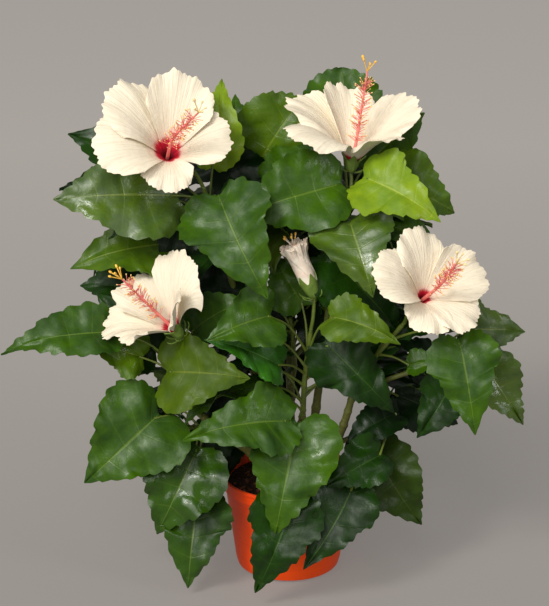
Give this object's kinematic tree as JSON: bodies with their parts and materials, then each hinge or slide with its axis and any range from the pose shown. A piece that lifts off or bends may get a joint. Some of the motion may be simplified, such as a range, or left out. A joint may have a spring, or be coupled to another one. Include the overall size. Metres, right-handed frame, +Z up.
{
  "type": "potted hibiscus shrub",
  "caption": "Bushy hibiscus shrub with cream, red-throated flowers and glossy green leaves, growing in a round orange plastic pot.",
  "frame": {"origin": "centre of the pot's flat underside", "axes": "+Z up, -Y towards the front, +X to the right seen from the front"},
  "size_m": [0.4816, 0.3323, 0.4917],
  "materials": {
    "pot_plastic": "satin",
    "peat_soil": "matte",
    "bark": "satin",
    "foliage": "satin",
    "flower": "matte"
  },
  "bodies": {
    "root": {"pot": "pot_plastic", "soil": "peat_soil", "cane_centre": "bark", "cane_left": "bark", "cane_right": "bark", "cane_back_left": "bark", "cane_back_right": "bark", "cane_back": "bark", "bough_top_centre": "bark", "bough_far_right": "bark", "bough_low_left": "bark", "bough_low_front": "bark", "bough_low_right": "bark", "bough_middle": "bark", "bough_back_left": "bark", "bough_back_right": "bark", "bough_back_centre": "bark", "bough_back_low": "bark", "bloom_top_left": "flower", "bloom_top_right": "flower", "bloom_left": "flower", "bloom_right": "flower", "bud_centre": "flower", "leaves_top_left": "foliage", "leaves_top_centre": "foliage", "leaves_top_right": "foliage", "leaves_left": "foliage", "leaves_centre": "foliage", "leaves_right": "foliage", "leaves_far_right": "foliage", "leaves_low_left": "foliage", "leaves_low_front": "foliage", "leaves_low_right": "foliage", "leaves_middle": "foliage", "leaves_back_top": "foliage", "leaves_back_left": "foliage", "leaves_back_right": "foliage", "leaves_back_centre": "foliage", "leaves_back_low": "foliage"}
  },
  "joints": []
}
